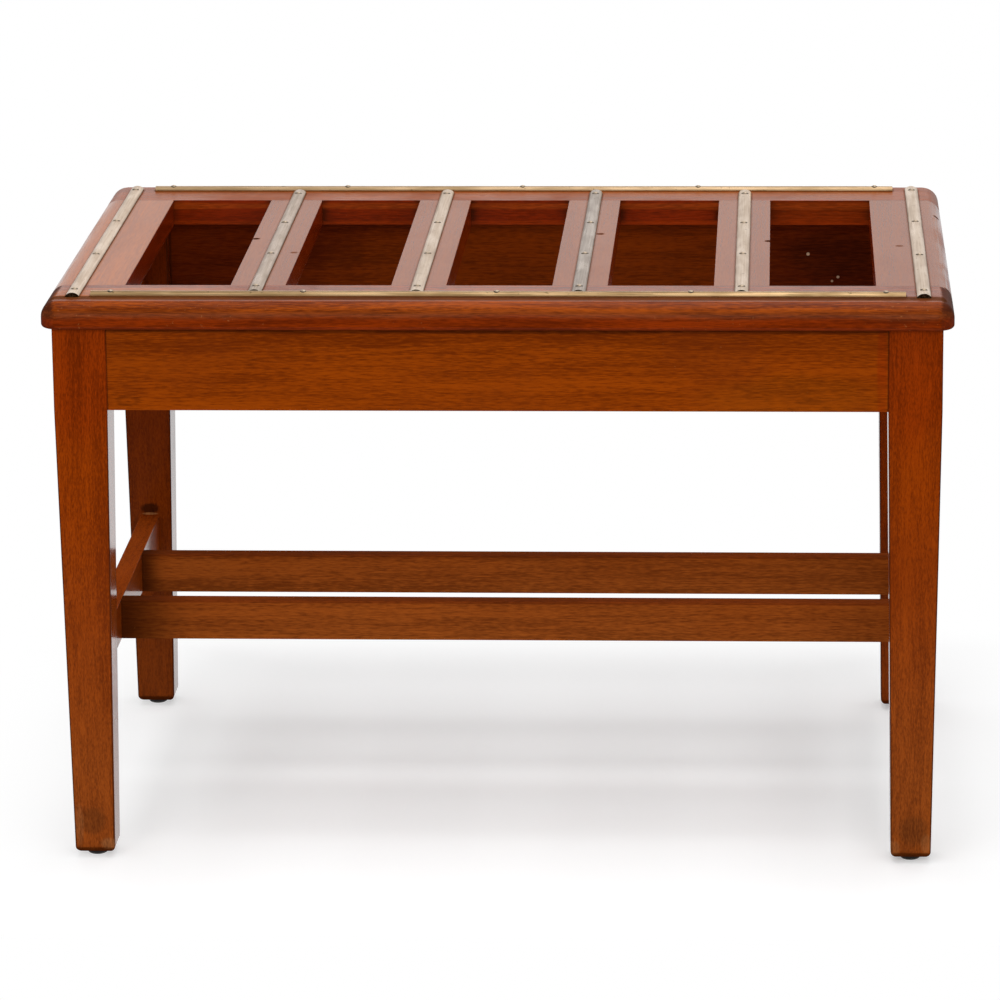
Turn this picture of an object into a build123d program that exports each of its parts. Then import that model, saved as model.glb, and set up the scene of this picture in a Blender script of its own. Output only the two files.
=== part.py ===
"""Rigid luggage stand: tapered legs, aprons, stretchers, a slatted top and pinned brass strips."""
import os

from build123d import *

# Sizes are in millimetres. X runs along the length, the front is at -Y, and the floor is at Z = 0.

# Top frame
top_length = 760.0
top_depth = 508.0
top_thickness = 22.5
rail_width = 73.5
end_board_width = 64.0
slat_width = 46.8
slat_count = 4
corner_radius = 16.0
edge_round = 14.0
under_edge_round = 3.0
edge_ease = 0.8

# Legs
top_overhang = 9.2
leg_width = 45.0
foot_width = 34.0
leg_length = 462.6
leg_arris = 1.5
foot_round = 7.0

# Aprons, set back a little from the outer faces of the legs
apron_height = 71.0
apron_thickness = 22.0
apron_setback = 1.5

# Stretchers, measured up from the foot of the leg and in from its outer face
stretcher_level = 146.2
stretcher_height = 35.0
end_stretcher_thickness = 17.5
end_stretcher_inset = 21.5
long_stretcher_thickness = 16.0
long_stretcher_spacing = 152.0

# Brass strips with low sides and a rounded crown, laid on the top
strip_width = 11.6
strip_side = 1.0
strip_rise = 3.8
front_strip_inset = 34.0
front_strip_end_margin = 40.0
rear_strip_inset = 26.5
rear_strip_end_margin = 42.0
end_strip_inset = 25.0
end_strip_front_margin = 26.5
end_strip_rear_margin = 25.0
slat_strip_front_gap = 0.5
slat_strip_rear_gap = 9.0

# Pins through the strips
long_strip_pins = 5
cross_strip_pins = 4
pin_end_distance = 16.5
pin_head_diameter = 6.4
pin_head_rim = 0.75
pin_head_depth = 2.0
pin_dome_rise = 1.0
pin_shank_diameter = 2.4
pin_bite = 6.0
pin_clearance = 0.05

# Mortise and tenon joints
tenon_shoulder = 6.0
tenon_thickness = 7.0
board_tenon_length = 22.0
end_tenon_margin = 20.0
apron_tenon_thickness = 9.0
apron_tenon_gap = 3.0
apron_haunch = 10.0
stretcher_tenon_thickness = 6.5
stretcher_tenon_shoulder = 5.0
end_stretcher_tenon_length = 15.0
long_stretcher_tenon_length = 8.0
cheek_clearance = 0.1
tenon_end_clearance = 1.0
pin_tip_clearance = 0.5

# Blind dowels between the base and the top
dowel_bite = 12.0
leg_dowel_diameter = 10.0
leg_dowel_length = 40.0
leg_dowel_inset = 14.0
apron_dowel_diameter = 8.0
apron_dowel_length = 32.0
long_apron_dowels = 3
long_apron_dowel_spacing = 220.0
end_apron_dowels = 2
end_apron_dowel_spacing = 180.0
dowel_clearance = 0.05

# Nail-on glides
glide_height = 4.4
glide_diameter = 18.0
glide_rim = 1.3
glide_flat_diameter = 12.0
glide_nail_diameter = 3.0
glide_nail_length = 14.0
glide_nail_clearance = 0.1


def evenly(count, spacing):
    """Coordinates of a row of evenly spaced points, centred on zero."""
    return [spacing * (i - (count - 1) / 2) for i in range(count)]


# Heights
foot_z = glide_height
head_z = foot_z + leg_length
top_z = head_z + top_thickness
taper_z = head_z - apron_height
crown_z = top_z + strip_rise
stretcher_z = foot_z + stretcher_level
stretcher_top_z = stretcher_z + stretcher_height

# Places in plan
half_length = top_length / 2
half_depth = top_depth / 2
opening_y = half_depth - rail_width
end_board_x = half_length - end_board_width
opening_width = (2 * end_board_x - slat_count * slat_width) / (slat_count + 1)
slat_pitch = opening_width + slat_width
slat_x = evenly(slat_count, slat_pitch)
leg_x = half_length - top_overhang - leg_width / 2
leg_y = half_depth - top_overhang - leg_width / 2
leg_inner_x = leg_x - leg_width / 2
leg_inner_y = leg_y - leg_width / 2
apron_inset = top_overhang + apron_setback + apron_thickness / 2
long_apron_y = half_depth - apron_inset
end_apron_x = half_length - apron_inset
end_stretcher_x = half_length - top_overhang - end_stretcher_inset
end_stretcher_inner_x = end_stretcher_x - end_stretcher_thickness / 2
long_stretcher_y = long_stretcher_spacing / 2

# Strips: centre lines of the long ones, and where the ones that run from front to back start and stop
front_strip_y = front_strip_inset - half_depth
front_strip_length = top_length - 2 * front_strip_end_margin
rear_strip_y = half_depth - rear_strip_inset
rear_strip_length = top_length - 2 * rear_strip_end_margin
end_strip_x = half_length - end_strip_inset
end_strip_limits = (end_strip_front_margin - half_depth, half_depth - end_strip_rear_margin)
slat_strip_start = front_strip_y + strip_width / 2 + slat_strip_front_gap
slat_strip_limits = (slat_strip_start, rear_strip_y - strip_width / 2 - slat_strip_rear_gap)

# Joints that follow from the sizes above: tenons lie under the pin tips and stop short of each other
tenon_top_z = top_z - pin_bite - pin_tip_clearance
apron_tenon_far_side = apron_setback + (apron_thickness + apron_tenon_thickness) / 2
apron_tenon_length = leg_width - apron_tenon_far_side - apron_tenon_gap
apron_tenon_z = (taper_z + tenon_shoulder, head_z - apron_haunch)
stretcher_tenon_z = (stretcher_z + stretcher_tenon_shoulder, stretcher_top_z - stretcher_tenon_shoulder)
leg_dowel_x = leg_inner_x + leg_dowel_inset
leg_dowel_y = leg_inner_y + leg_dowel_inset

side_names = {-1: "left", 1: "right"}
face_names = {-1: "front", 1: "rear"}


def leg_half_width(z):
    """Half the width of a leg at a height: square under the top, tapering evenly below the aprons."""
    share = min(max((z - foot_z) / (taper_z - foot_z), 0), 1)
    return (foot_width + (leg_width - foot_width) * share) / 2


def block(x_limits, y_limits, z_limits, mode=Mode.ADD):
    """Add or cut a box between limits, given in any order, in the part that is being built."""
    limits = (x_limits, y_limits, z_limits)
    centre = tuple(sum(pair) / 2 for pair in limits)
    with Locations(centre):
        Box(*[abs(pair[1] - pair[0]) for pair in limits], mode=mode)


def about(middle, width):
    """Limits of a width centred on a coordinate."""
    return middle - width / 2, middle + width / 2


def mortise(x_limits, y_limits, z_limits, along):
    """Cut a tenon's hole with room at its cheeks and, along the tenon's axis, at its end."""
    room = {axis: tenon_end_clearance if axis == along else cheek_clearance for axis in "xyz"}
    grown = []
    for axis, pair in zip("xyz", (x_limits, y_limits, z_limits)):
        grown.append((min(pair) - room[axis], max(pair) + room[axis]))
    block(*grown, mode=Mode.SUBTRACT)


def edges_at(edges, axis, place):
    """Edges whose middles lie at one place along an axis."""
    return edges.filter_by_position(axis, place, place)


def round_foot(centre, view):
    """Round the lower corners of the leg that is being built, as seen square to one plane."""
    foot, head = foot_width / 2, leg_width / 2
    bend = taper_z - foot_z
    with BuildSketch(Plane(origin=(*centre, foot_z), x_dir=view.x_dir, z_dir=view.z_dir)) as outline:
        with BuildLine():
            Polyline((-foot, 0), (foot, 0), (head, bend), (head, leg_length), (-head, leg_length),
                     (-head, bend), close=True)
        make_face()
        fillet(outline.vertices().group_by(Axis.Y)[0], foot_round)
    extrude(outline.sketch, amount=leg_width, both=True, mode=Mode.INTERSECT)


def save(piece, name):
    """Label a finished piece and write it as one node."""
    piece.label = name
    export_step(piece, f"parts/{name}.step")


# Tenon limits, shared by the board that carries the tenon and the one that receives it
def slat_tenon(x, face):
    ends = (face * opening_y, face * (opening_y + board_tenon_length))
    return about(x, slat_width - 2 * tenon_shoulder), ends, (tenon_top_z - tenon_thickness, tenon_top_z)


def end_board_tenon(side, face):
    across = (side * (end_board_x + tenon_shoulder), side * (half_length - end_tenon_margin))
    ends = (face * opening_y, face * (opening_y + board_tenon_length))
    return across, ends, (tenon_top_z - tenon_thickness, tenon_top_z)


def long_apron_tenon(side, face):
    along = (side * leg_inner_x, side * (leg_inner_x + apron_tenon_length))
    return along, about(face * long_apron_y, apron_tenon_thickness), apron_tenon_z


def end_apron_tenon(side, face):
    along = (face * leg_inner_y, face * (leg_inner_y + apron_tenon_length))
    return about(side * end_apron_x, apron_tenon_thickness), along, apron_tenon_z


def end_stretcher_tenon(side, face):
    root = leg_y - leg_half_width(stretcher_top_z)
    along = (face * root, face * (root + end_stretcher_tenon_length))
    return about(side * end_stretcher_x, stretcher_tenon_thickness), along, stretcher_tenon_z


def long_stretcher_tenon(side, face):
    along = (side * end_stretcher_inner_x, side * (end_stretcher_inner_x + long_stretcher_tenon_length))
    return along, about(face * long_stretcher_y, stretcher_tenon_thickness), stretcher_tenon_z


# Dowel places, each the middle of a dowel where it crosses the joint
leg_dowel_points = [(x, y, head_z) for x in (-leg_dowel_x, leg_dowel_x) for y in (-leg_dowel_y, leg_dowel_y)]
apron_dowel_points = []
for end in (-1, 1):
    for x in evenly(long_apron_dowels, long_apron_dowel_spacing):
        apron_dowel_points.append((x, end * long_apron_y, head_z))
    for y in evenly(end_apron_dowels, end_apron_dowel_spacing):
        apron_dowel_points.append((end * end_apron_x, y, head_z))


def dowel_row(points, diameter, length, grow=0.0, end_room=0.0, mode=Mode.ADD):
    """Add dowels at points on the joint, or cut their holes with some room."""
    low = length - dowel_bite + end_room
    high = dowel_bite + end_room
    middles = [(x, y, z + (high - low) / 2) for x, y, z in points]
    with Locations(*middles):
        Cylinder(diameter / 2 + grow, high + low, mode=mode)


def drill_dowel_holes():
    """Cut every dowel hole that meets the part that is being built."""
    for points, diameter, length in (
        (leg_dowel_points, leg_dowel_diameter, leg_dowel_length),
        (apron_dowel_points, apron_dowel_diameter, apron_dowel_length),
    ):
        dowel_row(points, diameter, length, dowel_clearance, tenon_end_clearance, Mode.SUBTRACT)


def pin_points(length, count):
    """Distances along a strip, from its middle, of its row of pins."""
    return evenly(count, (length - 2 * pin_end_distance) / (count - 1))


def cross_strip(x, limits):
    """Values of a strip that runs from front to back between two limits."""
    return (x, sum(limits) / 2), (0, 1), limits[1] - limits[0], cross_strip_pins


# Strips by name: the middle of each, the direction it runs in, its length and its number of pins
strips = {
    "front_strip": ((0, front_strip_y), (1, 0), front_strip_length, long_strip_pins),
    "rear_strip": ((0, rear_strip_y), (1, 0), rear_strip_length, long_strip_pins),
}
for side, side_name in side_names.items():
    strips[f"{side_name}_end_strip"] = cross_strip(side * end_strip_x, end_strip_limits)
for number, x in enumerate(slat_x, start=1):
    strips[f"slat_strip_{number}"] = cross_strip(x, slat_strip_limits)


def strip_pins(name):
    """Places of a strip's pins on the crown of the strip."""
    (x, y), (run_x, run_y), length, count = strips[name]
    return [(x + run_x * t, y + run_y * t, crown_z) for t in pin_points(length, count)]


os.makedirs("parts", exist_ok=True)


def pin_shape(room):
    """A pin with its tip down and its crown at zero, grown sideways and at the tip by a clearance."""
    shank = pin_shank_diameter / 2 + room
    rim = pin_head_diameter / 2 + room
    tip = top_z - pin_bite - crown_z - room
    rim_point = (rim, -pin_head_rim)
    dome_height = pin_dome_rise + pin_head_rim
    dome_radius = (rim**2 + dome_height**2) / (2 * dome_height)
    with BuildPart() as shape:
        with BuildSketch(Plane.XZ):
            with BuildLine():
                Polyline((0, pin_dome_rise), (0, tip), (shank, tip), (shank, -pin_head_depth), rim_point)
                RadiusArc(rim_point, (0, pin_dome_rise), -dome_radius)
            make_face()
        revolve(axis=Axis.Z)
    return shape.part


pin = pin_shape(room=0.0)
pin_hole = pin_shape(room=pin_clearance)

# All pin holes of the top, cut from each of its boards
with BuildPart() as pin_holes:
    for name in strips:
        with Locations(*strip_pins(name)):
            add(pin_hole)

# Legs
for side in side_names:
    for face in face_names:
        with BuildPart() as leg:
            centre = (side * leg_x, face * leg_y)
            with BuildSketch(Plane.XY.offset(foot_z)) as foot_section:
                with Locations(centre):
                    Rectangle(foot_width, foot_width)
            with BuildSketch(Plane.XY.offset(taper_z)) as head_section:
                with Locations(centre):
                    Rectangle(leg_width, leg_width)
            loft(sections=[foot_section.sketch, head_section.sketch])
            extrude(head_section.sketch, amount=apron_height)
            fillet(leg.edges() - leg.edges().filter_by(Plane.XY), leg_arris)
            round_foot(centre, Plane.XZ)
            round_foot(centre, Plane.YZ)
            mortise(*long_apron_tenon(side, face), along="x")
            mortise(*end_apron_tenon(side, face), along="y")
            mortise(*end_stretcher_tenon(side, face), along="y")
            drill_dowel_holes()
            nail_room = glide_nail_length + tenon_end_clearance
            with Locations((*centre, foot_z + nail_room / 2)):
                Cylinder(glide_nail_diameter / 2 + glide_nail_clearance, nail_room, mode=Mode.SUBTRACT)
        save(leg.part, f"{face_names[face]}_{side_names[side]}_leg")

# Aprons
for face in face_names:
    with BuildPart() as apron:
        block((-leg_inner_x, leg_inner_x), about(face * long_apron_y, apron_thickness), (taper_z, head_z))
        fillet(apron.edges().filter_by(Axis.X).group_by(Axis.Z)[0], edge_ease)
        for side in side_names:
            block(*long_apron_tenon(side, face))
        drill_dowel_holes()
    save(apron.part, f"{face_names[face]}_apron")

for side in side_names:
    with BuildPart() as apron:
        block(about(side * end_apron_x, apron_thickness), (-leg_inner_y, leg_inner_y), (taper_z, head_z))
        fillet(apron.edges().filter_by(Axis.Y).group_by(Axis.Z)[0], edge_ease)
        for face in face_names:
            block(*end_apron_tenon(side, face))
        drill_dowel_holes()
    save(apron.part, f"{side_names[side]}_apron")

# End stretchers, whose shoulders lean with the taper of the legs
for side in side_names:
    with BuildPart() as stretcher:
        low_y = leg_y - leg_half_width(stretcher_z)
        high_y = leg_y - leg_half_width(stretcher_top_z)
        with BuildSketch(Plane.YZ.offset(side * end_stretcher_x)):
            with BuildLine():
                Polyline(
                    (-low_y, stretcher_z), (low_y, stretcher_z),
                    (high_y, stretcher_top_z), (-high_y, stretcher_top_z),
                    close=True,
                )
            make_face()
        extrude(amount=end_stretcher_thickness / 2, both=True)
        fillet(stretcher.edges().filter_by(Axis.Y), edge_ease)
        for face in face_names:
            block(*end_stretcher_tenon(side, face))
            mortise(*long_stretcher_tenon(side, face), along="x")
    save(stretcher.part, f"{side_names[side]}_end_stretcher")

# Long stretchers
for face in face_names:
    with BuildPart() as stretcher:
        across = about(face * long_stretcher_y, long_stretcher_thickness)
        block((-end_stretcher_inner_x, end_stretcher_inner_x), across, (stretcher_z, stretcher_top_z))
        fillet(stretcher.edges().filter_by(Axis.X), edge_ease)
        for side in side_names:
            block(*long_stretcher_tenon(side, face))
    save(stretcher.part, f"{face_names[face]}_long_stretcher")

# Top rails, with round corners and the rounded outer edge
for face in face_names:
    with BuildPart() as rail:
        block((-half_length, half_length), (face * opening_y, face * half_depth), (head_z, top_z))
        fillet(edges_at(rail.edges().filter_by(Axis.Z), Axis.Y, face * half_depth), corner_radius)
        for level, radius in ((top_z, edge_round), (head_z, under_edge_round)):
            level_edges = edges_at(rail.edges(), Axis.Z, level)
            fillet(level_edges - edges_at(level_edges, Axis.Y, face * opening_y), radius)
        for x in slat_x:
            mortise(*slat_tenon(x, face), along="y")
        for side in side_names:
            mortise(*end_board_tenon(side, face), along="y")
        drill_dowel_holes()
        add(pin_holes.part, mode=Mode.SUBTRACT)
    save(rail.part, f"{face_names[face]}_top_rail")

# End boards of the top
for side in side_names:
    with BuildPart() as board:
        block((side * end_board_x, side * half_length), (-opening_y, opening_y), (head_z, top_z))
        fillet(edges_at(board.edges().filter_by(Axis.Y), Axis.X, side * end_board_x), edge_ease)
        for level, radius in ((top_z, edge_round), (head_z, under_edge_round)):
            outer_edges = edges_at(board.edges().filter_by(Axis.Y), Axis.X, side * half_length)
            fillet(edges_at(outer_edges, Axis.Z, level), radius)
        for face in face_names:
            block(*end_board_tenon(side, face))
        drill_dowel_holes()
        add(pin_holes.part, mode=Mode.SUBTRACT)
    save(board.part, f"{side_names[side]}_end_board")

# Slats
for number, x in enumerate(slat_x, start=1):
    with BuildPart() as slat:
        block(about(x, slat_width), (-opening_y, opening_y), (head_z, top_z))
        fillet(slat.edges().filter_by(Axis.Y), edge_ease)
        for face in face_names:
            block(*slat_tenon(x, face))
        add(pin_holes.part, mode=Mode.SUBTRACT)
    save(slat.part, f"slat_{number}")

# Brass strips and their pins
for name, (middle, run, length, _) in strips.items():
    start = (middle[0] - run[0] * length / 2, middle[1] - run[1] * length / 2, top_z)
    with BuildPart() as strip:
        with BuildSketch(Plane(origin=start, x_dir=(-run[1], run[0], 0), z_dir=(*run, 0))):
            with BuildLine():
                half = strip_width / 2
                Polyline((-half, strip_side), (-half, 0), (half, 0), (half, strip_side))
                ThreePointArc((half, strip_side), (0, strip_rise), (-half, strip_side))
            make_face()
        extrude(amount=length)
        with Locations(*strip_pins(name)):
            add(pin_hole, mode=Mode.SUBTRACT)
    save(strip.part, name)
    with BuildPart() as pin_row:
        with Locations(*strip_pins(name)):
            add(pin)
    save(pin_row.part, f"{name}_pins")

# Dowels
with BuildPart() as leg_dowels:
    dowel_row(leg_dowel_points, leg_dowel_diameter, leg_dowel_length)
save(leg_dowels.part, "leg_dowels")

with BuildPart() as apron_dowels:
    dowel_row(apron_dowel_points, apron_dowel_diameter, apron_dowel_length)
save(apron_dowels.part, "apron_dowels")

# Glides, domed and flat at the bottom, with a nail up into the leg
for side in side_names:
    for face in face_names:
        axis = Plane(origin=(side * leg_x, face * leg_y, 0), x_dir=(1, 0, 0), z_dir=(0, -1, 0))
        with BuildPart() as glide:
            with BuildSketch(axis):
                with BuildLine():
                    rim = glide_diameter / 2
                    flat = glide_flat_diameter / 2
                    nail = glide_nail_diameter / 2
                    nail_tip = foot_z + glide_nail_length
                    rim_low = (rim, foot_z - glide_rim)
                    Polyline((flat, 0), (0, 0), (0, nail_tip), (nail, nail_tip), (nail, foot_z),
                             (rim, foot_z), rim_low)
                    TangentArc(rim_low, (flat, 0), tangent=(0, -1))
                make_face()
            revolve(axis=Axis((side * leg_x, face * leg_y, 0), (0, 0, 1)))
        save(glide.part, f"{face_names[face]}_{side_names[side]}_glide")
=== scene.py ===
"""Looks of a rigid luggage stand: polished mahogany, pinned brass strips, domed glides and a pale studio."""
import functools
import math

import bpy
from mathutils import Matrix, Vector


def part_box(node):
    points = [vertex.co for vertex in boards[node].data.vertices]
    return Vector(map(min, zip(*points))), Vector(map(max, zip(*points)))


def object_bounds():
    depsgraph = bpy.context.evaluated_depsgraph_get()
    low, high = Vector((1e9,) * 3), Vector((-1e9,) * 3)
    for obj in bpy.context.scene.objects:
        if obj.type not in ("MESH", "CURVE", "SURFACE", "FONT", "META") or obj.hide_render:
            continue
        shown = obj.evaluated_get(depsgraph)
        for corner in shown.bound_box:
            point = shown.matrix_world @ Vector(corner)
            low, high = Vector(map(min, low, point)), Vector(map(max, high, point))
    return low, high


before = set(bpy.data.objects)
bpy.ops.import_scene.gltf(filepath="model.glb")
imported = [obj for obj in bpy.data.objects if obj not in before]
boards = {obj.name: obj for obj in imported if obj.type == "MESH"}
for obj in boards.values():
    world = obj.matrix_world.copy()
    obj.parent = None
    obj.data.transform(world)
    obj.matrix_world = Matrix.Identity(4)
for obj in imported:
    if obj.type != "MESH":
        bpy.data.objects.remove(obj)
cad_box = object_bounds()

# Camera: a long lens, a little above the stand and turned slightly to the left
eye = (0.233944, -4.41028, 1.415869)
camera_heading = 3.182
camera_tilt = 75.282
camera_roll = -0.607
lens_length = 185.561
sensor_width = 36.0
clip_distance = 50

# Floor: a disc that fades into the white surroundings, outside the plan of the stand and towards its ends
floor_radius = 1.25
floor_sides = 96
floor_fade = 0.19
side_fade = (0.19, 0.53)
shadow_shift = 0.02
shadow_rear = 0.05
floor_white = (1.21, 1.22, 1.225, 1)
floor_bounce = (0.50, 0.49, 0.48, 1)

# Soft light: an even fill, and two softboxes by place, aim, size and power
glow_white = (1, 1, 1, 1)
fill_level = 0.34
overhead_box = ((-0.02, 0.05, 2.2), (0, 0.05, 0), (2.2, 1.8), 30)
front_box = ((-0.04, -1.65, 0.95), (0, -0.2, 0.30), (2.2, 0.75), 15)

# Surroundings in reflections: two directions between which a level changes, and the levels there
overhead_glow = 1.5
front_glow = 0.8
sweep_rearward = (-0.10, 0.40, 0.05, 1.0)
sweep_upward = (0.40, 0.58, 1.0, 0.14)
sweep_sideways = (0.22, 0.55, 1.0, 0.28)
overhead_upward = (0.62, 0.80, 0.0, 1.0)
overhead_rightward = (-0.115, -0.04, 0.25, 1.0)
overhead_rearward = (-0.45, 0.10, 0.30, 1.0)
front_rearward = (-0.95, -0.70, 1.0, 0.0)
front_lower_edge = (0.15, 0.35, 0.0, 1.0)
front_upper_edge = (0.50, 0.70, 1.0, 0.0)

# Wood: gloss, stains, wear, and painted shade
top_ior = 1.2
base_ior = 1.12
coat_ior = 1.5
coat_roughness = 0.12
deep_brown = (0.045, 0.008, 0.0008, 1)
dust_light = (0.390, 0.092, 0.0120, 1)
dust_dark = (0.175, 0.037, 0.0045, 1)
dust_height = 0.34
dust_wander = 0.10
worn_colour = (0.36, 0.085, 0.012, 1)
end_grain_colour = (0.060, 0.011, 0.0025, 1)
scuff_colour = (0.42, 0.17, 0.050, 1)
grime_and_shade_colour = (0.110, 0.034, 0.008, 1)
worn_strength = 0.30
arris_shade = 0.7
corner_shade = 0.75
joint_shade = 0.85
joint_grime = 0.7
strip_grime_and_shade = 0.6
mark_grain = 0.45
mark_edge = (0.5, 1.0)
mark_wander = 0.8
knot_rings = 15.0
knot_strength = 0.42
knot_edge = (0.15, 1.0)
knot_wander, knot_fibre = 1.2, 0.4

# Reach of dirt and shade beside a piece, and width of a joint line, in metres
dirt_and_shade_reach = 0.0022
corner_reach = 0.008
joint_line = 0.0008

# Grain: turns that lay the run of a board along X, then waves per metre along and across the run
turn_to_run = {"x": (0, 0, 0), "y": (0, 0, -math.pi / 2), "z": (0, math.pi / 2, 0)}
seed_shift = (1.37, 0.71, 0.53)
sway_waves = (6, 14)
sway_width = (0, 0.008, 0.008)
fibre_finer = (8, 2)
dash_waves = (80, 760)
cloud_waves = 9.0
fleck_waves = 420.0
figure_share, streak_share, fibre_share = 1.0, 0.85, 1.2
fibre_relief, streak_relief = 0.3, 0.4

# Parts of a noise over which a feature comes in
tone_range = (0.08, 0.92)
dash_range = (0.61, 0.72)
smudge_range = (0.48, 0.72)
worn_range = (0.42, 0.66)
scuff_range = (0.5, 0.6)
fleck_range = 0.06

# Parts of a face's direction over which a finish changes
under_facing = (-0.45, -0.10)
top_facing = (0.70, 0.90)
inside_facing = (0.6, 0.9)
coat_facing = (0.75, 0.92)
arris_facing = (0.93, 0.995)
end_facing = (0.18, 0.40)
strip_side_facing = (0.62, 0.76)
strip_end_facing = (0.8, 0.95)
pin_top_facing = (0.66, 0.90)

# Dulling: roughness that a feature adds
smudge_dulling = 0.45
streak_dulling = 0.12
under_dulling = 0.6
arris_dulling = 0.4
end_dulling = 0.45
worn_dulling = 0.10
dirt_and_shade_dulling = 0.35

# Brass strips
brass_gloss = 0.26
rub_waves = (14, 900)
stain_waves = (24, 90)
rub_share, stain_share = 0.45, 0.55
tarnish_waves = 240.0
tarnish_range = (0.66, 0.76)
grimy_waves = 520.0
grimy_range = (0.40, 0.62)
grimy_least = 0.35
brass_spot = (0.20, 0.13, 0.05, 1)
brass_side_shade = (0.17, 0.11, 0.045, 1)
brass_sawn = (0.070, 0.048, 0.020, 1)
brass_side_strength = 0.75
rub_dulling, side_dulling, sawn_dulling, tarnish_dulling = 0.14, 0.16, 0.15, 0.15

# Pins and glides
pin_gloss, rim_dulling = 0.32, 0.25
pin_waves = 900.0
pin_wander = 0.20
pin_rim_grime_and_shade = (0.050, 0.036, 0.021, 1)
pin_dome = (0.74, 0.58, 0.42, 1)
steel_gloss, steel_dulling = 0.42, 0.2
steel_waves = 600.0
steel_dark = (0.020, 0.018, 0.017, 1)
steel_rubbed = (0.16, 0.15, 0.14, 1)
rubbed_height = 0.003
rubbed_range = (0.4, 0.6)

# Relief: strength and depth in metres
wood_relief = (0.03, 0.0003)
brass_relief = (0.10, 0.0002)
steel_relief = (0.2, 0.0002)


class Tone:
    """A shader value whose sums and products become nodes."""

    def __init__(self, recipe, socket):
        self.recipe = recipe
        self.socket = socket

    def maths(self, operation, first, second=None):
        inputs = {0: first} if second is None else {0: first, 1: second}
        return self.recipe.node("ShaderNodeMath", {"operation": operation}, inputs)

    def __add__(self, other):
        return self.maths("ADD", self, other)

    __radd__ = __add__

    def __sub__(self, other):
        return self.maths("SUBTRACT", self, other)

    def __rsub__(self, other):
        return self.maths("SUBTRACT", other, self)

    def __mul__(self, other):
        return self.maths("MULTIPLY", self, other)

    __rmul__ = __mul__

    def __pow__(self, other):
        return self.maths("POWER", self, other)

    def __abs__(self):
        return self.maths("ABSOLUTE", self)

    def least(self, other):
        return self.maths("MINIMUM", self, other)

    def most(self, other):
        return self.maths("MAXIMUM", self, other)


class Recipe:
    """The nodes of one finish."""

    def __init__(self, owner):
        owner.use_nodes = True
        self.owner = owner
        self.tree = owner.node_tree
        self.tree.nodes.clear()

    def node(self, kind, settings, inputs, output=0):
        """Add a node: its settings first, then its sockets by name or number, as values or links."""
        made = self.tree.nodes.new(kind)
        for name, value in settings.items():
            setattr(made, name, value)
        for name, value in inputs.items():
            if isinstance(value, Tone):
                self.tree.links.new(value.socket, made.inputs[name])
            else:
                made.inputs[name].default_value = value
        return Tone(self, made.outputs[output]) if made.outputs else made

    def place(self):
        return self.node("ShaderNodeTexCoord", {}, {}, "Object")

    def facing(self):
        return self.node("ShaderNodeTexCoord", {}, {}, "Normal")

    def axes(self, vector):
        """The three parts of a vector."""
        split = self.node("ShaderNodeSeparateXYZ", {}, {0: vector}).socket.node
        return [Tone(self, socket) for socket in split.outputs]

    def seen_by(self, *kinds):
        """A mask of the rays of some kinds."""
        rays = self.node("ShaderNodeLightPath", {}, {}).socket.node.outputs
        mask = Tone(self, rays[f"Is {kinds[0]} Ray"])
        for kind in kinds[1:]:
            mask = mask + Tone(self, rays[f"Is {kind} Ray"])
        return mask.least(1)

    def vector_maths(self, operation, *vectors, output=0):
        return self.node("ShaderNodeVectorMath", {"operation": operation}, dict(enumerate(vectors)), output)

    def stretch(self, vector, along, across):
        """Scale a place that runs along X."""
        return self.vector_maths("MULTIPLY", vector, (along, across, across))

    def noise(self, vector, scale=1.0, detail=2.0, roughness=0.5):
        sockets = {"Vector": vector, "Scale": scale, "Detail": detail, "Roughness": roughness}
        return self.node("ShaderNodeTexNoise", {"noise_dimensions": "3D"}, sockets)

    def ease(self, value, low, high, to_low=0.0, to_high=1.0):
        """A smooth step between two values."""
        sockets = {"Value": value, "From Min": low, "From Max": high, "To Min": to_low, "To Max": to_high}
        return self.node("ShaderNodeMapRange", {"interpolation_type": "SMOOTHSTEP"}, sockets)

    def mix(self, share, first, second):
        """Blend two colours."""
        settings = {"data_type": "RGBA", "blend_type": "MIX", "clamp_factor": True}
        return self.node("ShaderNodeMix", settings, {0: share, 6: first, 7: second}, 2)

    def bump(self, height, strength, distance):
        return self.node("ShaderNodeBump", {}, {"Height": height, "Strength": strength, "Distance": distance})

    def surface(self, **sockets):
        """The main shader, with its sockets given by name with _ for a space, and the output."""
        inputs = {name.replace("_", " "): value for name, value in sockets.items()}
        shader = self.node("ShaderNodeBsdfPrincipled", {}, inputs)
        self.node("ShaderNodeOutputMaterial", {}, {"Surface": shader})
        return self.owner


def finish(name):
    return Recipe(bpy.data.materials.new(name))


def lay_on(piece, material):
    """Give a piece one material."""
    if piece.material_slots:
        for slot in piece.material_slots:
            slot.material = material
    else:
        piece.data.materials.append(material)


def outside_plan(place, low, high):
    """How far a place lies outside a box in plan."""
    over_x, over_y = [
        (abs(place[axis] - (low[axis] + high[axis]) / 2) - (high[axis] - low[axis]) / 2).most(0)
        for axis in (0, 1)
    ]
    return (over_x * over_x + over_y * over_y) ** 0.5


def beside_pieces(recipe, place, names, reach):
    """A mask that fades out beside some pieces, seen in plan."""
    masks = [recipe.ease(outside_plan(place, *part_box(name)), 0.0, reach, 1.0, 0.0) for name in names]
    return functools.reduce(Tone.most, masks)


def from_centre(recipe, place, centre, size):
    """Distance from a centre, 1 at its half sizes."""
    offset = recipe.vector_maths("SUBTRACT", place, centre)
    scaled = recipe.vector_maths("DIVIDE", offset, size)
    return recipe.vector_maths("LENGTH", scaled, output="Value")


def spot(recipe, place, centre, size, ragged):
    """A mask of a soft spot with a ragged edge, given its half sizes."""
    distance = from_centre(recipe, place, centre, size)
    return recipe.ease(distance + mark_wander * (ragged - 0.5), *mark_edge, 1.0, 0.0)


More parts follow.
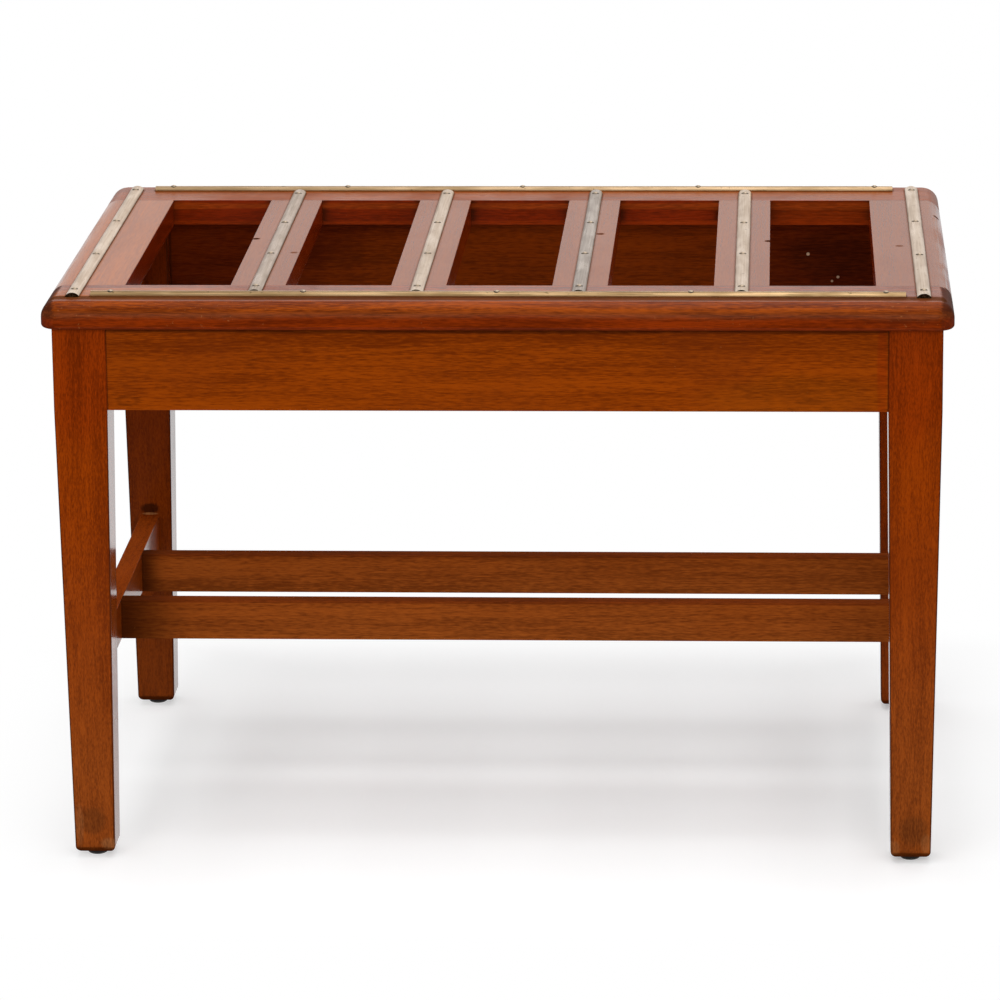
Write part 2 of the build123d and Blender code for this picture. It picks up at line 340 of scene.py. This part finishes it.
def mahogany(
    board, run, light, dark, seed, gloss=0.24, ior=base_ior, grain=(26, 460), dashes=0.22, smudges=0.30,
    flecks=(0.76, 0.22), bands=(3.2, 44), dusty=0.0, strips=(), joint=None, beside=(), reach=dirt_and_shade_reach,
    end_grain=0.0, dark_arris=False, inside=None, corners=(), side_coat=0.0, dull_top=0.0, knots=(), marks=(),
):
    """Polished mahogany with its grain along one axis: figure, pores, smudges, worn arrises, dirt, and
    painted light and shade.
    """
    recipe = finish(board + "_mahogany")
    place = recipe.place()
    shift = tuple(seed * part for part in seed_shift)
    turned = recipe.node(
        "ShaderNodeMapping", {"vector_type": "POINT"},
        {"Vector": place, "Location": shift, "Rotation": turn_to_run[run]},
    )
    sway_sockets = {"Vector": recipe.stretch(turned, *sway_waves), "Scale": 1.0, "Detail": 1.0}
    sway = recipe.node("ShaderNodeTexNoise", {}, sway_sockets, 1)
    swayed = recipe.vector_maths("MULTIPLY_ADD", sway, sway_width, turned)
    figure = recipe.noise(recipe.stretch(swayed, *bands))
    streak = recipe.noise(recipe.stretch(swayed, *grain), detail=3.0, roughness=0.6)
    fibre_waves = [finer * waves for finer, waves in zip(fibre_finer, grain)]
    fibre = recipe.noise(recipe.stretch(swayed, *fibre_waves))
    dash = recipe.ease(recipe.noise(recipe.stretch(swayed, *dash_waves), detail=1.0), *dash_range)
    cloud = recipe.noise(place, cloud_waves + seed % 3, detail=4.0, roughness=0.6)
    fleck = recipe.noise(place, fleck_waves, detail=1.0)

    tone = 0.5 + figure_share * (figure - 0.5) + streak_share * (streak - 0.5) + fibre_share * (fibre - 0.5)
    lightness = recipe.ease(tone, *tone_range)
    colour = recipe.mix(lightness, dark, light)
    smudge = recipe.ease(cloud, *smudge_range)
    colour = recipe.mix(smudge * smudges, colour, dark)
    colour = recipe.mix(dash * dashes, colour, deep_brown)

    axes = recipe.axes(place)
    normal = recipe.axes(recipe.facing())
    nx, ny, nz = [abs(part) for part in normal]
    roughness = gloss + smudge_dulling * smudges * smudge + streak_dulling * (streak - 0.5)
    roughness = roughness + under_dulling * recipe.ease(normal[2], *under_facing, 1.0, 0.0)
    if dull_top:
        roughness = roughness + dull_top * recipe.ease(normal[2], *top_facing)

    # Faces turned into the openings take their own colour pair, painted light and shade by facing, with
    # painted shade in the openings' corners
    if inside:
        axis, sign, shade_light, shade_dark = inside
        towards = sign * normal[axis] if sign else abs(normal[axis])
        shaded = recipe.mix(lightness, shade_dark, shade_light)
        corner = corner_shade * beside_pieces(recipe, axes, corners, corner_reach)
        shaded = recipe.mix(corner, shaded, deep_brown)
        colour = recipe.mix(recipe.ease(towards, *inside_facing), colour, shaded)
    if dusty:
        low_down = recipe.ease(axes[2] + dust_wander * (cloud - 0.5), 0.0, dust_height, dusty, 0.0)
        colour = recipe.mix(low_down, colour, recipe.mix(lightness, dust_dark, dust_light))

    arris = recipe.ease(nx.most(ny).most(nz), *arris_facing, 1.0, 0.0)
    # On the legs the rounded arrises take painted shade
    if dark_arris:
        colour = recipe.mix(arris * arris_shade, colour, deep_brown)
        roughness = roughness + arris_dulling * arris
    elif end_grain:
        across = {"x": nx, "y": ny, "z": nz}[run]
        ends = recipe.ease(across + 0.5 * (streak - 0.5), *end_facing) * end_grain
        colour = recipe.mix(ends, colour, end_grain_colour)
        roughness = roughness + end_dulling * ends
    else:
        worn = arris * recipe.ease(cloud + 0.6 * (streak - 0.5), *worn_range)
        colour = recipe.mix(worn * worn_strength, colour, worn_colour)
        roughness = roughness + worn_dulling * worn

    for centre, size in knots:
        distance = from_centre(recipe, place, centre, size)
        distance = distance + knot_wander * (cloud - 0.5) + knot_fibre * (fibre - 0.5)
        wave = recipe.node("ShaderNodeMath", {"operation": "COSINE"}, {0: knot_rings * distance})
        rings = 0.5 + 0.5 * wave
        colour = recipe.mix(rings * recipe.ease(distance, *knot_edge, knot_strength, 0.0), colour, deep_brown)
    for centre, size, mark_light, strength, dull in marks:
        mark_dark = (*[mark_grain * part for part in mark_light[:3]], 1)
        grained = recipe.mix(lightness, mark_dark, mark_light)
        mask = spot(recipe, place, centre, size, cloud) * strength
        colour = recipe.mix(mask, colour, grained)
        if dull:
            roughness = roughness + dull * mask

    if joint is not None:
        line = joint_grime * recipe.ease(abs(abs(axes[1]) - joint), 0.0, joint_line, 1.0, 0.0)
        colour = recipe.mix(line, colour, deep_brown)
    # Grime and painted contact shade along the feet of the brass strips, dulled
    if strips:
        grime_and_shade = strip_grime_and_shade * beside_pieces(recipe, axes, strips, dirt_and_shade_reach)
        colour = recipe.mix(grime_and_shade, colour, grime_and_shade_colour)
        roughness = roughness + dirt_and_shade_dulling * grime_and_shade
    # Darkening beside other pieces: a thin dark joint line on the aprons by the legs, and painted shadow on
    # the long stretchers towards the left end stretcher
    if beside:
        shade = joint_shade * beside_pieces(recipe, axes, beside, reach)
        colour = recipe.mix(shade, colour, deep_brown)
        roughness = roughness + dirt_and_shade_dulling * shade
    fleck_level, fleck_strength = flecks
    scuff = recipe.ease(fleck, fleck_level, fleck_level + fleck_range) * recipe.ease(cloud, *scuff_range)
    colour = recipe.mix(scuff * fleck_strength, colour, scuff_colour)

    coat = {}
    if side_coat:
        coat_weight = side_coat * recipe.ease(nx, *coat_facing)
        coat = {"Coat_Weight": coat_weight, "Coat_Roughness": coat_roughness, "Coat_IOR": coat_ior}
    relief = recipe.bump(fibre * fibre_relief + streak * streak_relief, *wood_relief)
    return recipe.surface(Base_Color=colour, Roughness=roughness, IOR=ior, Normal=relief, **coat)


def brass(name, run, light, dark, side_colour=brass_side_shade, contrast=0.18, spots=0.45):
    """Old brass strip, rubbed along its run, with painted shade on its sides (a painted sheen where a lighter
    side colour is given) and dark at its sawn ends.
    """
    recipe = finish(name)
    place = recipe.place()
    turned = recipe.node(
        "ShaderNodeMapping", {"vector_type": "POINT"}, {"Vector": place, "Rotation": turn_to_run[run]},
    )
    rub = recipe.noise(recipe.stretch(turned, *rub_waves), detail=2.0, roughness=0.55)
    stain = recipe.noise(recipe.stretch(turned, *stain_waves), detail=3.0, roughness=0.6)
    tarnish = recipe.ease(recipe.noise(place, tarnish_waves, detail=2.0), *tarnish_range)
    bright = recipe.ease(rub_share * rub + stain_share * stain, 0.5 - contrast, 0.5 + contrast)
    colour = recipe.mix(bright, dark, light)
    colour = recipe.mix(tarnish * spots, colour, brass_spot)
    nx, ny, nz = [abs(part) for part in recipe.axes(recipe.facing())]
    # Sides, found by facing, take the side colour: painted shade by default, a painted sheen where a lighter
    # side colour is given
    side = recipe.ease(nz, *strip_side_facing, 1.0, 0.0)
    colour = recipe.mix(side * brass_side_strength, colour, side_colour)
    ends = recipe.ease({"x": nx, "y": ny}[run], *strip_end_facing)
    grimy = recipe.ease(recipe.noise(place, grimy_waves, detail=2.0), *grimy_range, 1.0, grimy_least)
    colour = recipe.mix(ends * grimy, colour, brass_sawn)
    roughness = brass_gloss + rub_dulling * (1 - bright) + side_dulling * side
    roughness = roughness + sawn_dulling * ends + tarnish_dulling * tarnish
    relief = recipe.bump(rub + 0.5 * stain, *brass_relief)
    return recipe.surface(Base_Color=colour, Metallic=1.0, Roughness=roughness, Normal=relief)


def pin_metal(name):
    """Pin heads, rubbed bright on top and dark round the rim with grime and painted shade."""
    recipe = finish(name)
    place = recipe.place()
    grime_and_shade = recipe.noise(place, pin_waves, detail=3.0)
    up = recipe.axes(recipe.facing())[2]
    # Round the rim, found by facing, grime and painted shade
    top = recipe.ease(up + pin_wander * (grime_and_shade - 0.5), *pin_top_facing)
    colour = recipe.mix(top, pin_rim_grime_and_shade, pin_dome)
    roughness = pin_gloss + rim_dulling * (1 - top)
    relief = recipe.bump(grime_and_shade, *steel_relief)
    return recipe.surface(Base_Color=colour, Metallic=0.9, Roughness=roughness, Normal=relief)


def glide_metal(name):
    """Dark steel of the domed glides, scuffed underneath."""
    recipe = finish(name)
    place = recipe.place()
    scuff = recipe.noise(place, steel_waves, detail=4.0, roughness=0.7)
    height = recipe.axes(place)[2]
    rubbed = recipe.ease(height, 0.0, rubbed_height, 1.0, 0.0) * recipe.ease(scuff, *rubbed_range)
    colour = recipe.mix(rubbed, steel_dark, steel_rubbed)
    roughness = steel_gloss + steel_dulling * scuff
    relief = recipe.bump(scuff, *steel_relief)
    return recipe.surface(Base_Color=colour, Metallic=0.8, Roughness=roughness, Normal=relief)


def floor_paper(name):
    """Pale floor that takes the shadow near the stand and fades to white away from it."""
    recipe = finish(name)
    place = recipe.axes(recipe.place())
    low, high = cad_box
    gap = outside_plan(place, low, high + Vector((0, shadow_rear, 0)))
    seen_paper = recipe.node("ShaderNodeBsdfDiffuse", {}, {"Color": floor_white})
    bounce_paper = recipe.node("ShaderNodeBsdfDiffuse", {}, {"Color": floor_bounce})
    seen = recipe.seen_by("Camera", "Glossy")
    paper = recipe.node("ShaderNodeMixShader", {}, {0: seen, 1: bounce_paper, 2: seen_paper})
    white = recipe.node("ShaderNodeEmission", {}, {"Color": glow_white, "Strength": 1.0})
    away = recipe.ease(gap, 0.0, floor_fade).most(recipe.ease(abs(place[0] - shadow_shift), *side_fade))
    far = away * recipe.seen_by("Camera", "Glossy", "Transmission")
    shader = recipe.node("ShaderNodeMixShader", {}, {0: far, 1: paper, 2: white})
    recipe.node("ShaderNodeOutputMaterial", {}, {"Surface": shader})
    return recipe.owner


def studio_surroundings():
    """A white sweep behind the stand, soft light overhead, a dim room in front, and an even fill."""
    world = bpy.data.worlds.new("studio")
    bpy.context.scene.world = world
    recipe = Recipe(world)
    x, y, z = recipe.axes(recipe.node("ShaderNodeTexCoord", {}, {}, "Generated"))
    sweep = recipe.ease(y, *sweep_rearward) * recipe.ease(z, *sweep_upward)
    sweep = sweep * recipe.ease(abs(x), *sweep_sideways)
    above = recipe.ease(z, *overhead_upward) * recipe.ease(x, *overhead_rightward)
    above = above * recipe.ease(y, *overhead_rearward)
    front = recipe.ease(y, *front_rearward) * recipe.ease(z, *front_lower_edge)
    front = front * recipe.ease(z, *front_upper_edge)
    level = sweep.most(overhead_glow * above).most(front_glow * front).most(recipe.seen_by("Camera"))
    backdrop = recipe.node("ShaderNodeBackground", {}, {"Color": glow_white, "Strength": level})
    fill = recipe.node("ShaderNodeBackground", {}, {"Color": glow_white, "Strength": fill_level})
    shown = recipe.seen_by("Camera", "Glossy", "Transmission")
    shader = recipe.node("ShaderNodeMixShader", {}, {0: shown, 1: fill, 2: backdrop})
    recipe.node("ShaderNodeOutputWorld", {}, {"Surface": shader})


def softbox(name, place, aim, size, power):
    """A rectangular soft light that looks at a point and shows in no reflection."""
    data = bpy.data.lights.new(name, "AREA")
    data.shape = "RECTANGLE"
    data.size, data.size_y = size
    data.energy = power
    lamp = bpy.data.objects.new(name, data)
    bpy.context.collection.objects.link(lamp)
    lamp.location = place
    lamp.rotation_euler = (Vector(aim) - Vector(place)).to_track_quat("-Z", "Y").to_euler()
    lamp.visible_glossy = False
    lamp.visible_camera = False


# Colours of the boards: the lighter and the darker wood of each, with painted light and shade in some pairs
red_light, red_dark = (0.345, 0.050, 0.0008, 1), (0.165, 0.021, 0.0005, 1)
# Shaded copies of the leg wood: painted shade for the rear legs
rear_shaded_light, rear_shaded_dark = (0.205, 0.028, 0.0006, 1), (0.098, 0.012, 0.0004, 1)
side_shaded_light, side_shaded_dark = (0.300, 0.037, 0.0006, 1), (0.145, 0.016, 0.0004, 1)
edge_light, edge_dark = (0.350, 0.062, 0.0016, 1), (0.115, 0.016, 0.0006, 1)
back_light, back_dark = (0.370, 0.072, 0.0016, 1), (0.190, 0.033, 0.0008, 1)
gold_light, gold_dark = (0.330, 0.055, 0.0010, 1), (0.155, 0.022, 0.0006, 1)
# A shaded copy: painted shade for the rear apron's inner face
inner_shaded_light, inner_shaded_dark = (0.190, 0.024, 0.0008, 1), (0.085, 0.009, 0.0004, 1)
top_light, top_dark = (0.285, 0.064, 0.0030, 1), (0.210, 0.043, 0.0021, 1)
bright_light, bright_dark = (0.415, 0.102, 0.0066, 1), (0.285, 0.064, 0.0038, 1)
# Painted light and shade for faces inside the openings: a brighter pair for the rails' inner faces, a darker
# pair for the boards' cheeks
painted_inside_light, painted_inside_dark = (0.690, 0.048, 0.0003, 1), (0.240, 0.014, 0.0002, 1)
painted_cheek_light, painted_cheek_dark = (0.290, 0.023, 0.0003, 1), (0.100, 0.008, 0.0002, 1)

# Colours of the marks
red_flush = (0.30, 0.034, 0.0006, 1)
pale_scuff = (0.46, 0.19, 0.065, 1)
speck_colour = (1.00, 0.68, 0.44, 1)
stain_and_shadow_colour = (0.030, 0.006, 0.0010, 1)

# Pieces that meet, and where
slat_names = [f"slat_{number}" for number in range(1, 5)]
slat_strips = [f"slat_strip_{number}" for number in range(1, 5)]
end_strips = ["left_end_strip", "right_end_strip"]
top_rails = ["front_top_rail", "rear_top_rail"]
top_boards = ["left_end_board", "right_end_board", *slat_names]
front_legs = ["front_left_leg", "front_right_leg"]
rear_legs = ["rear_left_leg", "rear_right_leg"]
board_end_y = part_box("rear_top_rail")[0].y
front_strip_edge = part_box("front_strip")[0].y
stretcher_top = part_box("front_long_stretcher")[1].z

# Marks: centre, half sizes, colour, strength and dullness of each, where a band runs the whole length
band = 9
nick_size = (0.0045, 0.0045, 0.003)
apron_knots = [((-0.3085, -0.243, 0.4045), (0.022, 0.040, 0.0105))]
apron_marks = [
    ((0.3205, -0.243, 0.430), (0.0055, 0.010, 0.080), (0.34, 0.036, 0.001, 1), 0.6, 0),
    ((0.245, -0.243, 0.408), (0.100, 0.020, 0.026), (0.33, 0.064, 0.0012, 1), 0.55, 0),
    ((0.2625, -0.243, 0.4045), (0.019, 0.020, 0.0035), stain_and_shadow_colour, 0.25, 0),
    # Painted shadow: a dark band along the apron's top, under the moulding
    ((0, -0.243, 0.4680), (band, 0.020, 0.0070), stain_and_shadow_colour, 0.55, 0),
]
leg_marks = {
    "front_left_leg": [
        ((-0.348, -0.245, 0.455), (0.050, 0.030, 0.110), red_flush, 0.8, 0),
        ((-0.350, -0.240, 0.034), (0.014, 0.020, 0.016), grime_and_shade_colour, 0.45, 0.2),
        ((-0.336, -0.240, 0.013), (0.010, 0.010, 0.007), pale_scuff, 0.5, 0.3),
        ((-0.361, -0.240, 0.030), (0.0045, 0.010, 0.024), pale_scuff, 0.25, 0.3),
    ],
    "front_right_leg": [
        ((0.348, -0.245, 0.455), (0.050, 0.030, 0.110), red_flush, 0.8, 0),
        ((0.350, -0.240, 0.030), (0.016, 0.020, 0.016), grime_and_shade_colour, 0.40, 0.2),
        ((0.334, -0.240, 0.014), (0.006, 0.010, 0.008), pale_scuff, 0.28, 0.3),
        ((0.361, -0.240, 0.018), (0.005, 0.010, 0.010), pale_scuff, 0.28, 0.3),
    ],
    "rear_left_leg": [
        ((-0.349, 0.2023, 0.1930), (0.0105, 0.006, 0.0062), stain_and_shadow_colour, 0.8, 0.3),
        ((-0.349, 0.2023, 0.1880), (0.0085, 0.006, 0.0014), pale_scuff, 0.7, 0.3),
    ],
}
rear_apron_marks = [
    # Painted light: a lighter middle on the rear apron's inner face
    ((0.02, 0.221, 0.415), (0.240, 0.030, 0.080), (0.36, 0.056, 0.0008, 1), 0.8, 0),
    ((0.285, 0.221, 0.432), (0.055, 0.020, 0.030), stain_and_shadow_colour, 0.35, 0),
    ((0.2614, 0.2213, 0.4314), (0.0018, 0.0018, 0.0018), speck_colour, 1.0, 0.3),
    ((0.2889, 0.2213, 0.4099), (0.0016, 0.0016, 0.0016), speck_colour, 0.9, 0.3),
    ((0.2835, 0.2213, 0.4061), (0.0014, 0.0014, 0.0014), speck_colour, 0.9, 0.3),
]
# Painted reflection: a darker top face on the long stretchers, where they mirror the dark underside of the
# stand
stretcher_top_painted_reflection = ((0, 0, stretcher_top), (band, band, 0.0024), (0.23, 0.039, 0.0045, 1), 0.85, 0)
chip = ((0.379, -0.178, 0.4860), (0.008, 0.0035, 0.008), stain_and_shadow_colour, 0.9, 0.8)
front_rail_marks = [
    ((-0.30, -0.215, 0.4895), (0.12, 0.03, 0.003), (0.58, 0.140, 0.0085, 1), 0.75, 0),
    # Grime and painted shade in a dull band in front of the front strip
    ((0, front_strip_edge - 0.004, 0.4895), (band, 0.011, 0.003), grime_and_shade_colour, 0.75, 0.6),
    # Painted light and shade on the moulding: a darker band with a pale painted sheen, then a darker, redder
    # lower face
    ((0, -0.254, 0.4785), (band, 0.020, 0.0060), (0.21, 0.041, 0.0070, 1), 0.8, 0),
    ((0, -0.254, 0.4690), (band, 0.050, 0.0120), (0.26, 0.027, 0.0005, 1), 0.9, 0),
    chip,
]
# Painted light on the rear rail's inner face: lighter patches, and painted highlights along its top and
# bottom
rear_rail_painted_light = [
    ((-0.262, 0.1805, 0.476), (0.070, 0.006, 0.022), (0.57, 0.034, 0.0003, 1), 0.7, 0),
    ((0.262, 0.1805, 0.476), (0.070, 0.006, 0.022), (0.76, 0.085, 0.0004, 1), 0.7, 0),
    ((0, 0.1790, 0.4842), (band, 0.004, 0.0044), (1.00, 0.140, 0.0120, 1), 0.9, 0),
    ((0, 0.1790, 0.4685), (band, 0.004, 0.0035), (0.95, 0.090, 0.0006, 1), 0.7, 0),
]
board_marks = {
    "slat_1": [
        ((-0.224, 0.010, 0.4890), nick_size, stain_and_shadow_colour, 0.9, 0.8),
        ((-0.185, -0.048, 0.4895), nick_size, stain_and_shadow_colour, 0.4, 0.8),
    ],
    "slat_3": [((0.078, 0.032, 0.4890), nick_size, stain_and_shadow_colour, 0.7, 0.8)],
    "slat_4": [((0.226, 0.002, 0.4890), nick_size, stain_and_shadow_colour, 0.9, 0.8)],
    "right_end_board": [
        chip,
        ((0.339, -0.018, 0.4895), nick_size, stain_and_shadow_colour, 0.35, 0.8),
        ((0.375, 0.121, 0.4860), nick_size, stain_and_shadow_colour, 0.7, 0.8),
    ],
}

# Boards: streaks per metre along and across each kind, then the wood of each board
leg_grain = (36, 620)
apron_grain = (14, 520)
stretcher_grain = (16, 520)
rail_grain = (14, 520)
board_grain = (8, 400)

seed = 0
for name, light, dark, dusty in (
    ("front_left_leg", red_light, red_dark, 0.75),
    ("front_right_leg", red_light, red_dark, 0.85),
    ("rear_left_leg", rear_shaded_light, rear_shaded_dark, 0.35),
    ("rear_right_leg", side_shaded_light, side_shaded_dark, 0.35),
):
    seed += 1
    wood = mahogany(
        name, "z", light, dark, seed, grain=leg_grain, dusty=dusty, dark_arris=True, side_coat=0.6,
        marks=leg_marks.get(name, ()),
    )
    lay_on(boards[name], wood)
seed += 1
lay_on(boards["front_apron"], mahogany(
    "front_apron", "x", gold_light, gold_dark, seed, grain=apron_grain, beside=front_legs, reach=0.0013,
    knots=apron_knots, marks=apron_marks,
))
seed += 1
lay_on(boards["rear_apron"], mahogany(
    "rear_apron", "x", inner_shaded_light, inner_shaded_dark, seed, grain=apron_grain, beside=rear_legs,
    marks=rear_apron_marks,
))
for side in ("left", "right"):
    seed += 1
    name = f"{side}_apron"
    legs = [f"front_{side}_leg", f"rear_{side}_leg"]
    lay_on(boards[name], mahogany(name, "y", red_light, red_dark, seed, grain=apron_grain, beside=legs))
    name = f"{side}_end_stretcher"
    wood = mahogany(
        name, "y", red_light, red_dark, seed, gloss=0.45, dusty=0.6, side_coat=0.6, dull_top=0.4,
    )
    lay_on(boards[name], wood)
# Painted shadow on the long stretchers towards the left end stretcher, reaching further on the front one
for face, shade_reach in (("front", 0.065), ("rear", 0.024)):
    seed += 1
    name = f"{face}_long_stretcher"
    wood = mahogany(
        name, "x", gold_light, gold_dark, seed, gloss=0.55, grain=stretcher_grain, dusty=1.6,
        beside=["left_end_stretcher"], reach=shade_reach, dull_top=0.4, marks=[stretcher_top_painted_reflection],
    )
    lay_on(boards[name], wood)
for face, light, dark, gloss, inwards, ends, flecks, bands, marks in (
    ("front", edge_light, edge_dark, 0.18, 1, 0.9, (0.69, 0.35), (7, 170), front_rail_marks),
    ("rear", back_light, back_dark, 0.27, -1, 0.15, (0.76, 0.22), (3.2, 44), rear_rail_painted_light),
):
    seed += 1
    name = f"{face}_top_rail"
    crossing = [f"{face}_strip", *end_strips, *slat_strips]
    wood = mahogany(
        name, "x", light, dark, seed, gloss=gloss, ior=top_ior, grain=rail_grain, dashes=0.45, smudges=0.35,
        flecks=flecks, bands=bands, strips=crossing, joint=board_end_y, end_grain=ends,
        inside=(1, inwards, painted_inside_light, painted_inside_dark), corners=top_boards, marks=marks,
    )
    lay_on(boards[name], wood)
for name, strip in zip(top_boards, end_strips + slat_strips):
    seed += 1
    light, dark = (bright_light, bright_dark) if name == "left_end_board" else (top_light, top_dark)
    wood = mahogany(
        name, "y", light, dark, seed, gloss=0.18, ior=top_ior, grain=board_grain, dashes=0.08, smudges=0.08,
        strips=[strip], joint=board_end_y, inside=(0, 0, painted_cheek_light, painted_cheek_dark), corners=top_rails,
        marks=board_marks.get(name, ()),
    )
    lay_on(boards[name], wood)
for name in ("leg_dowels", "apron_dowels"):
    seed += 1
    lay_on(boards[name], mahogany(name, "z", top_light, top_dark, seed))

# Strips, pins and glides
pale_brass = brass("pale_strip_brass", "y", (0.80, 0.62, 0.46, 1), (0.66, 0.49, 0.34, 1))
warm_brass = brass("warm_strip_brass", "y", (0.86, 0.67, 0.50, 1), (0.72, 0.53, 0.37, 1))
grey_brass = brass("grey_strip_brass", "y", (0.62, 0.47, 0.36, 1), (0.48, 0.36, 0.26, 1))
dull_brass = brass("dull_strip_brass", "y", (0.50, 0.40, 0.32, 1), (0.36, 0.28, 0.22, 1))
# Side colours: a painted golden sheen on the front strip, painted shade on the rear strip
front_brass = brass(
    "front_strip_brass", "x", (0.84, 0.56, 0.29, 1), (0.46, 0.29, 0.13, 1),
    side_colour=(0.86, 0.54, 0.25, 1), contrast=0.12, spots=0.7,
)
rear_brass = brass(
    "rear_strip_brass", "x", (0.84, 0.58, 0.34, 1), (0.55, 0.36, 0.18, 1),
    side_colour=(0.62, 0.41, 0.20, 1), contrast=0.14, spots=0.6,
)
pin_heads = pin_metal("pin_brass")
for name, metal in (
    ("slat_strip_2", pale_brass), ("slat_strip_4", pale_brass), ("right_end_strip", pale_brass),
    ("left_end_strip", warm_brass), ("slat_strip_1", grey_brass), ("slat_strip_3", dull_brass),
    ("front_strip", front_brass), ("rear_strip", rear_brass),
):
    lay_on(boards[name], metal)
    lay_on(boards[name + "_pins"], pin_heads)
glide_steel = glide_metal("glide_dark_steel")
for face in ("front", "rear"):
    for side in ("left", "right"):
        lay_on(boards[f"{face}_{side}_glide"], glide_steel)

# Studio
bpy.ops.object.select_all(action="DESELECT")
bpy.ops.mesh.primitive_circle_add(vertices=floor_sides, radius=floor_radius, fill_type="NGON")
floor = bpy.context.object
floor.name = "studio_floor"
lay_on(floor, floor_paper("floor_paper"))
studio_surroundings()
softbox("overhead_softbox", *overhead_box)
softbox("front_softbox", *front_box)

camera_data = bpy.data.cameras.new("photo_camera")
camera_data.lens = lens_length
camera_data.sensor_width = sensor_width
camera_data.clip_end = clip_distance
camera = bpy.data.objects.new("photo_camera", camera_data)
bpy.context.collection.objects.link(camera)
camera.matrix_world = (
    Matrix.Translation(eye)
    @ Matrix.Rotation(math.radians(camera_heading), 4, "Z")
    @ Matrix.Rotation(math.radians(camera_tilt), 4, "X")
    @ Matrix.Rotation(math.radians(camera_roll), 4, "Z")
)
bpy.context.scene.camera = camera
bpy.context.scene.view_settings.view_transform = "Standard"
